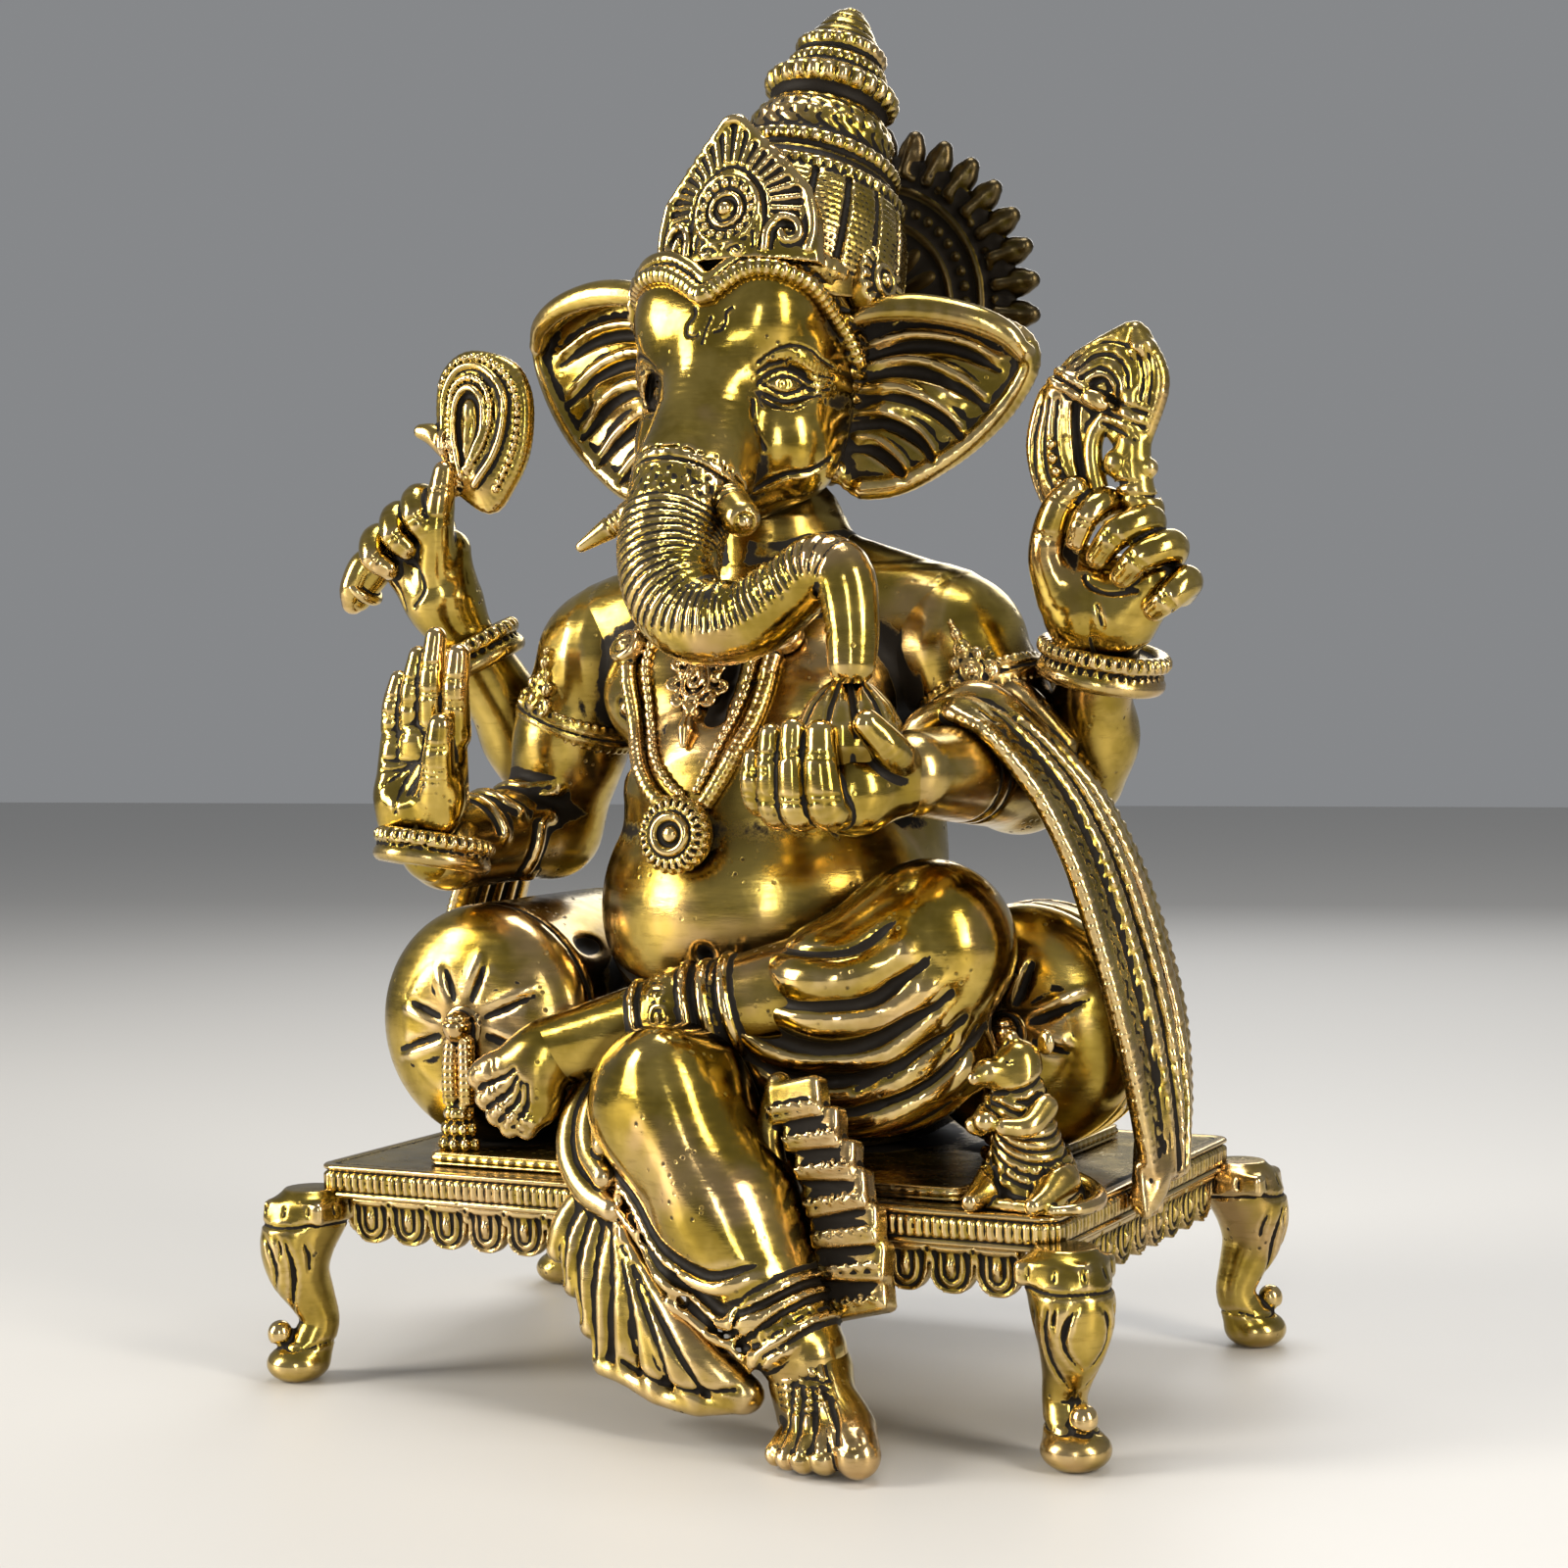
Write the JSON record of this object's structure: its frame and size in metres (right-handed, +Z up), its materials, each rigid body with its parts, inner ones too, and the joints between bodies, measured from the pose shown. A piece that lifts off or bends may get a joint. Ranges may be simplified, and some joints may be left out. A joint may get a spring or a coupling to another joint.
{
  "type": "ganesha idol",
  "caption": "Seated elephant-headed deity figure with raised hands and a crown, on a low stool with cabriole legs, cast in solid brass.",
  "frame": {"origin": "on the table, under the middle of the whole object's footprint box", "axes": "the figure faces -Y, its own left hand is towards +X, +Z is up"},
  "size_m": [0.2236, 0.1606, 0.33],
  "materials": {
    "polished_brass": "buffed brass with dark patina left in the grooves",
    "cast_brass": "antique brass, lightly buffed over the cast skin",
    "patinated_brass": "antique brass, chased pattern filled with dark patina"
  },
  "bodies": {
    "root": {"stool_slab": "cast_brass", "apron_front": "patinated_brass", "apron_back": "patinated_brass", "apron_right": "patinated_brass", "apron_left": "patinated_brass", "leg_front_right": "cast_brass", "leg_front_left": "cast_brass", "leg_back_right": "cast_brass", "leg_back_left": "cast_brass", "seat_mat": "patinated_brass", "bolster_right": "cast_brass", "bolster_left": "cast_brass", "tassel_right": "polished_brass", "tassel_left": "polished_brass", "torso": "cast_brass", "hips": "patinated_brass", "hanging_leg": "polished_brass", "hanging_foot": "cast_brass", "hem_fan": "patinated_brass", "waist_sash": "patinated_brass", "crossed_thigh": "polished_brass", "crossed_shin": "polished_brass", "crossed_foot": "cast_brass", "head": "polished_brass", "trunk": "polished_brass", "tusk_right": "cast_brass", "tusk_left": "cast_brass", "ear_right": "cast_brass", "ear_left": "cast_brass", "crown": "cast_brass", "crown_plaque": "polished_brass", "headband": "polished_brass", "rosette_right": "cast_brass", "rosette_left": "cast_brass", "halo": "patinated_brass", "front_arm_right": "cast_brass", "front_hand_right": "polished_brass", "front_arm_left": "cast_brass", "front_hand_left": "polished_brass", "rear_arm_right": "cast_brass", "rear_hand_right": "polished_brass", "rear_arm_left": "cast_brass", "rear_hand_left": "polished_brass", "bracelet_front_right": "patinated_brass", "bracelet_rear_right": "patinated_brass", "bracelet_rear_left": "patinated_brass", "armlet_right": "patinated_brass", "armlet_left": "patinated_brass", "axe": "cast_brass", "noose": "cast_brass", "sweet": "polished_brass", "necklace": "patinated_brass", "pendant": "cast_brass", "shawl_left": "patinated_brass", "shawl_right": "patinated_brass", "mouse": "cast_brass"}
  },
  "joints": []
}
